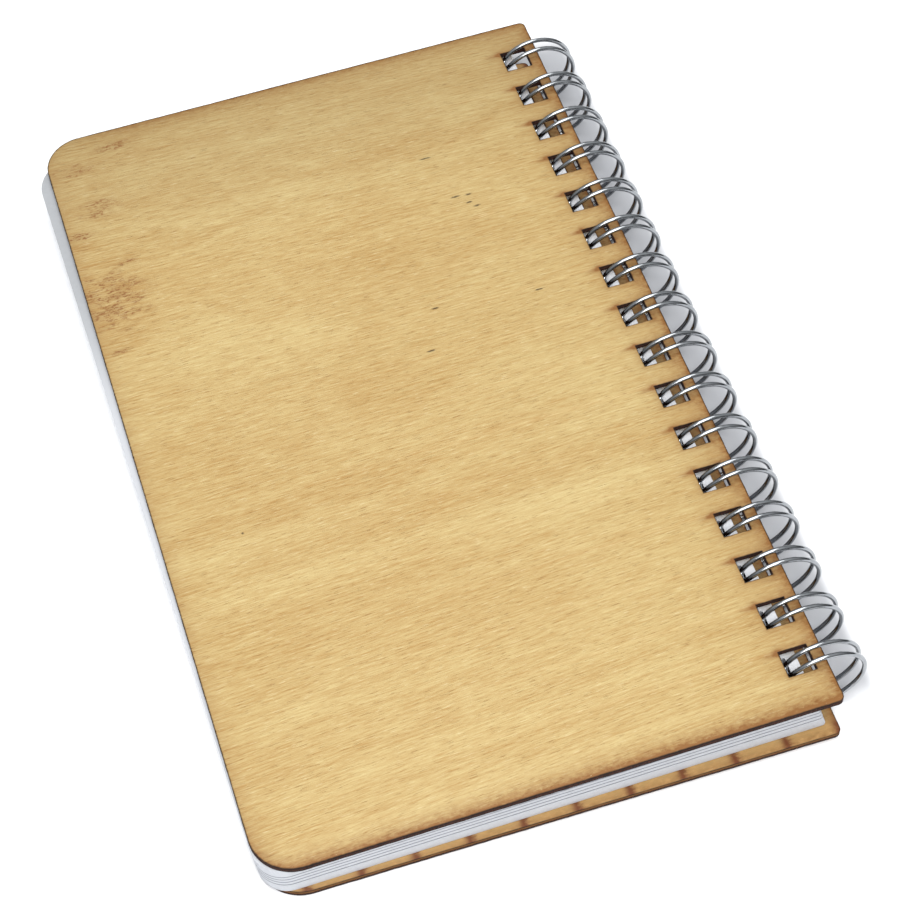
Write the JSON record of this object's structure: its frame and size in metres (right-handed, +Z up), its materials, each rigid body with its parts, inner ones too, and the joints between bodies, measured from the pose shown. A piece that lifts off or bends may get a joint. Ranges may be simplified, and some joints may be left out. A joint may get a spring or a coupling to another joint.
{
  "type": "pocket notebook",
  "caption": "Pocket notebook with laser-cut plywood covers and white leaves that turn on a twin-loop wire binding.",
  "frame": {"origin": "middle of the front cover's outer face, which the closed notebook lies on", "axes": "+X towards the spine and its wire, +Y along the spine, +Z up through the leaves to the back cover"},
  "size_m": [0.0954, 0.1434, 0.0138],
  "materials": {
    "plywood": "matte",
    "paper": "matte",
    "nickel_wire": "polished"
  },
  "bodies": {
    "front_cover": {"front_cover": "plywood"},
    "leaf_25": {"leaf_25": "paper"},
    "leaf_24": {"leaf_24": "paper"},
    "leaf_23": {"leaf_23": "paper"},
    "leaf_22": {"leaf_22": "paper"},
    "leaf_21": {"leaf_21": "paper"},
    "leaf_20": {"leaf_20": "paper"},
    "leaf_19": {"leaf_19": "paper"},
    "leaf_18": {"leaf_18": "paper"},
    "leaf_17": {"leaf_17": "paper"},
    "leaf_16": {"leaf_16": "paper"},
    "leaf_15": {"leaf_15": "paper"},
    "leaf_14": {"leaf_14": "paper"},
    "leaf_13": {"leaf_13": "paper"},
    "leaf_12": {"leaf_12": "paper"},
    "leaf_11": {"leaf_11": "paper"},
    "leaf_10": {"leaf_10": "paper"},
    "leaf_09": {"leaf_09": "paper"},
    "leaf_08": {"leaf_08": "paper"},
    "leaf_07": {"leaf_07": "paper"},
    "leaf_06": {"leaf_06": "paper"},
    "leaf_05": {"leaf_05": "paper"},
    "leaf_04": {"leaf_04": "paper"},
    "leaf_03": {"leaf_03": "paper"},
    "leaf_02": {"leaf_02": "paper"},
    "leaf_01": {"leaf_01": "paper"},
    "binding_wire": {"binding_wire": "nickel_wire"},
    "back_cover": {"back_cover": "plywood"}
  },
  "joints": [
    {"name": "leaf_25_turn", "type": "hinge", "parent": "front_cover", "child": "leaf_25", "pos_m": [0.04245, 0, 0.00607], "axis": [0, 1, 0], "range_deg": [0, 180]},
    {"name": "leaf_24_turn", "type": "hinge", "parent": "leaf_25", "child": "leaf_24", "pos_m": [0.04245, 0, 0.00607], "axis": [0, 1, 0], "range_deg": [0, 180]},
    {"name": "leaf_23_turn", "type": "hinge", "parent": "leaf_24", "child": "leaf_23", "pos_m": [0.04245, 0, 0.00607], "axis": [0, 1, 0], "range_deg": [0, 180]},
    {"name": "leaf_22_turn", "type": "hinge", "parent": "leaf_23", "child": "leaf_22", "pos_m": [0.04245, 0, 0.00607], "axis": [0, 1, 0], "range_deg": [0, 180]},
    {"name": "leaf_21_turn", "type": "hinge", "parent": "leaf_22", "child": "leaf_21", "pos_m": [0.04245, 0, 0.00607], "axis": [0, 1, 0], "range_deg": [0, 180]},
    {"name": "leaf_20_turn", "type": "hinge", "parent": "leaf_21", "child": "leaf_20", "pos_m": [0.04245, 0, 0.00607], "axis": [0, 1, 0], "range_deg": [0, 180]},
    {"name": "leaf_19_turn", "type": "hinge", "parent": "leaf_20", "child": "leaf_19", "pos_m": [0.04245, 0, 0.00607], "axis": [0, 1, 0], "range_deg": [0, 180]},
    {"name": "leaf_18_turn", "type": "hinge", "parent": "leaf_19", "child": "leaf_18", "pos_m": [0.04245, 0, 0.00607], "axis": [0, 1, 0], "range_deg": [0, 180]},
    {"name": "leaf_17_turn", "type": "hinge", "parent": "leaf_18", "child": "leaf_17", "pos_m": [0.04245, 0, 0.00607], "axis": [0, 1, 0], "range_deg": [0, 180]},
    {"name": "leaf_16_turn", "type": "hinge", "parent": "leaf_17", "child": "leaf_16", "pos_m": [0.04245, 0, 0.00607], "axis": [0, 1, 0], "range_deg": [0, 180]},
    {"name": "leaf_15_turn", "type": "hinge", "parent": "leaf_16", "child": "leaf_15", "pos_m": [0.04245, 0, 0.00607], "axis": [0, 1, 0], "range_deg": [0, 180]},
    {"name": "leaf_14_turn", "type": "hinge", "parent": "leaf_15", "child": "leaf_14", "pos_m": [0.04245, 0, 0.00607], "axis": [0, 1, 0], "range_deg": [0, 180]},
    {"name": "leaf_13_turn", "type": "hinge", "parent": "leaf_14", "child": "leaf_13", "pos_m": [0.04245, 0, 0.00607], "axis": [0, 1, 0], "range_deg": [0, 180]},
    {"name": "leaf_12_turn", "type": "hinge", "parent": "leaf_13", "child": "leaf_12", "pos_m": [0.04245, 0, 0.00607], "axis": [0, 1, 0], "range_deg": [0, 180]},
    {"name": "leaf_11_turn", "type": "hinge", "parent": "leaf_12", "child": "leaf_11", "pos_m": [0.04245, 0, 0.00607], "axis": [0, 1, 0], "range_deg": [0, 180]},
    {"name": "leaf_10_turn", "type": "hinge", "parent": "leaf_11", "child": "leaf_10", "pos_m": [0.04245, 0, 0.00607], "axis": [0, 1, 0], "range_deg": [0, 180]},
    {"name": "leaf_09_turn", "type": "hinge", "parent": "leaf_10", "child": "leaf_09", "pos_m": [0.04245, 0, 0.00607], "axis": [0, 1, 0], "range_deg": [0, 180]},
    {"name": "leaf_08_turn", "type": "hinge", "parent": "leaf_09", "child": "leaf_08", "pos_m": [0.04245, 0, 0.00607], "axis": [0, 1, 0], "range_deg": [0, 180]},
    {"name": "leaf_07_turn", "type": "hinge", "parent": "leaf_08", "child": "leaf_07", "pos_m": [0.04245, 0, 0.00607], "axis": [0, 1, 0], "range_deg": [0, 180]},
    {"name": "leaf_06_turn", "type": "hinge", "parent": "leaf_07", "child": "leaf_06", "pos_m": [0.04245, 0, 0.00607], "axis": [0, 1, 0], "range_deg": [0, 180]},
    {"name": "leaf_05_turn", "type": "hinge", "parent": "leaf_06", "child": "leaf_05", "pos_m": [0.04245, 0, 0.00607], "axis": [0, 1, 0], "range_deg": [0, 180]},
    {"name": "leaf_04_turn", "type": "hinge", "parent": "leaf_05", "child": "leaf_04", "pos_m": [0.04245, 0, 0.00607], "axis": [0, 1, 0], "range_deg": [0, 180]},
    {"name": "leaf_03_turn", "type": "hinge", "parent": "leaf_04", "child": "leaf_03", "pos_m": [0.04245, 0, 0.00607], "axis": [0, 1, 0], "range_deg": [0, 180]},
    {"name": "leaf_02_turn", "type": "hinge", "parent": "leaf_03", "child": "leaf_02", "pos_m": [0.04245, 0, 0.00607], "axis": [0, 1, 0], "range_deg": [0, 180]},
    {"name": "leaf_01_turn", "type": "hinge", "parent": "leaf_02", "child": "leaf_01", "pos_m": [0.04245, 0, 0.00607], "axis": [0, 1, 0], "range_deg": [0, 180]},
    {"name": "binding_wire_turn", "type": "hinge", "parent": "leaf_01", "child": "binding_wire", "pos_m": [0.04245, 0, 0.00607], "axis": [0, 1, 0], "range_deg": [0, 180]},
    {"name": "back_cover_hinge", "type": "hinge", "parent": "binding_wire", "child": "back_cover", "pos_m": [0.04245, 0, 0.00607], "axis": [0, 1, 0], "range_deg": [0, 180]}
  ]
}
